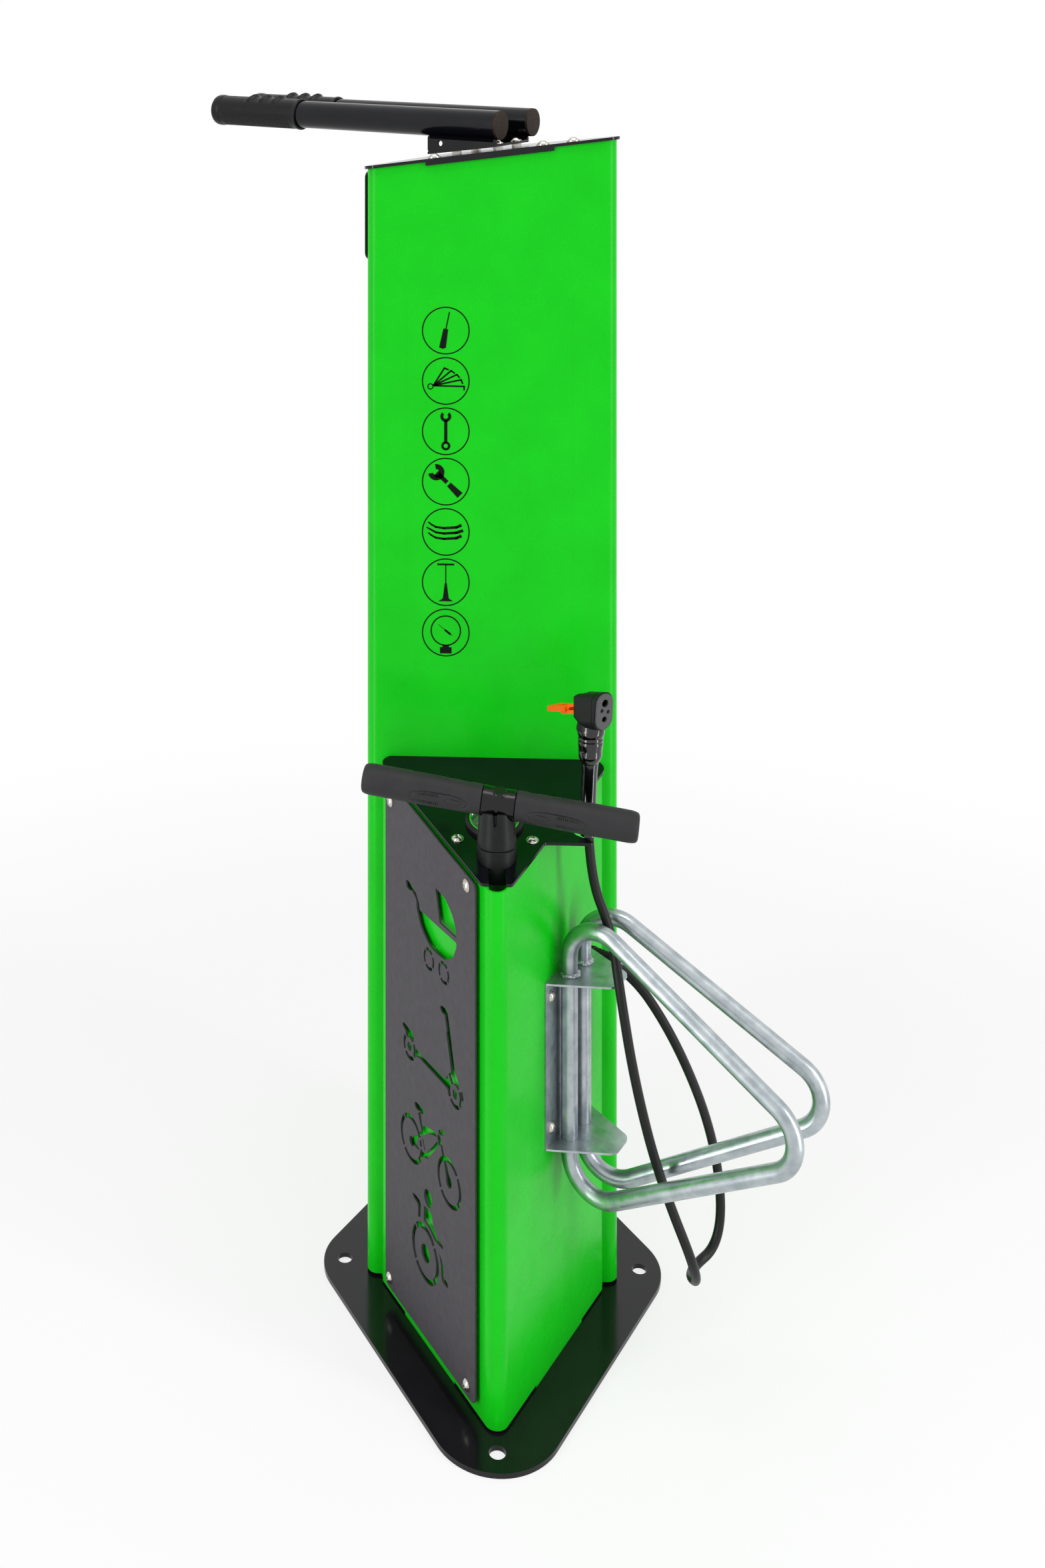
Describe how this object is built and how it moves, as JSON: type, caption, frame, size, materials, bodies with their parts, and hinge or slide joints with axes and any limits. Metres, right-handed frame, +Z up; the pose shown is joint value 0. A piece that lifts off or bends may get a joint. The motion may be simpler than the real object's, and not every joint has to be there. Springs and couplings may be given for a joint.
{
  "type": "bicycle repair station",
  "caption": "Floor-standing repair station: three-sided column with two holding arms, a floor pump with hose and gauge in a sloped-top housing, and a wheel holder.",
  "frame": {"origin": "on the floor, in the plane of the column's front face and at its middle", "axes": "+Z up, -Y towards the pump side, +X to the wheel holder's side"},
  "size_m": [0.6823, 0.5884, 1.3612],
  "materials": {
    "green_paint": "gloss powder coat, bright green",
    "black_satin": "satin powder coat, charcoal",
    "black_gloss": "gloss powder coat, black",
    "panel_grey": "fine matt powder coat, dark grey",
    "galvanised": "bright galvanised",
    "stainless": "stainless screw",
    "steel_tube": "plain steel",
    "cast_metal": "cast",
    "black_plastic": "moulded, fine grain",
    "sleeve_plastic": "shrunk sleeve, glossy",
    "grip_rubber": "soft grip",
    "hose_rubber": "smooth rubber",
    "orange_plastic": "moulded, orange",
    "label_film": "green film with line icons",
    "dial_white": "printed dial",
    "needle_red": "red pointer",
    "chrome_ring": "bright",
    "clear_glass": "clear"
  },
  "bodies": {
    "station": {"base_plate": "black_satin", "column_shell": "green_paint", "roof_plate": "black_satin", "roof_screws": "stainless", "roof_nuts": "stainless", "arm_bracket": "black_gloss", "arm_bracket_bolts": "stainless", "arm_bracket_spacers": "stainless", "arm_bracket_nuts": "stainless", "arm_welds": "black_gloss", "arm_tube_front": "black_gloss", "arm_tube_back": "black_gloss", "arm_plug_front": "black_plastic", "arm_plug_back": "black_plastic", "arm_grip_front": "grip_rubber", "arm_grip_back": "grip_rubber", "rear_cover": "black_satin", "rear_cover_screws": "stainless", "tool_label": "label_film", "pump_housing": "green_paint", "housing_screws": "stainless", "pump_shelf": "black_gloss", "shelf_screws": "stainless", "pictogram_panel": "panel_grey", "panel_screws": "stainless", "panel_spacers": "black_plastic", "wheel_bracket": "galvanised", "wheel_bracket_screws": "stainless", "wheel_loop_front": "galvanised", "wheel_loop_back": "galvanised", "wheel_loop_welds": "galvanised", "hose_gland": "black_plastic", "hose_gland_nut": "black_plastic", "air_hose": "hose_rubber", "hose_sleeve": "sleeve_plastic", "head_collar": "sleeve_plastic", "head_body": "black_plastic", "head_face": "black_plastic", "head_face_screws": "stainless", "lever_pin": "stainless", "pump_foot": "cast_metal", "pump_barrel": "steel_tube", "pump_collar": "black_plastic", "gauge_boot": "hose_rubber", "gauge_case": "steel_tube", "gauge_dial": "dial_white", "gauge_lens": "clear_glass", "gauge_bezel": "chrome_ring"},
    "plunger": {"pump_rod": "steel_tube", "pump_piston": "black_plastic", "piston_seal": "hose_rubber"},
    "handle": {"handle_hub": "black_plastic", "handle_cap": "black_plastic", "rod_nut": "stainless", "handle_core_left": "steel_tube", "handle_core_right": "steel_tube", "handle_grip_left": "grip_rubber", "handle_grip_right": "grip_rubber"},
    "valve_lever": {"head_lever": "orange_plastic"},
    "pointer": {"gauge_needle": "needle_red"}
  },
  "joints": [
    {"name": "pump_stroke", "type": "slide", "parent": "station", "child": "plunger", "axis": [0, 0, 1], "range_m": [0, 0.43]},
    {"name": "handle_turn", "type": "hinge", "parent": "plunger", "child": "handle", "pos_m": [0.0012, -0.16, 0.6032], "axis": [0, 0, 1], "range_deg": [-80, 10]},
    {"name": "lever_flip", "type": "hinge", "parent": "station", "child": "valve_lever", "pos_m": [0.09229, -0.11916, 0.6869], "axis": [0.8211, 0.5708, 0], "range_deg": [0, 90]},
    {"name": "gauge_pointer", "type": "hinge", "parent": "station", "child": "pointer", "pos_m": [0, -0.1095, 0.56195], "axis": [0, 0.2482, -0.9687], "range_deg": [0, 270], "stiffness_Nm_per_rad": 0.0002}
  ]
}
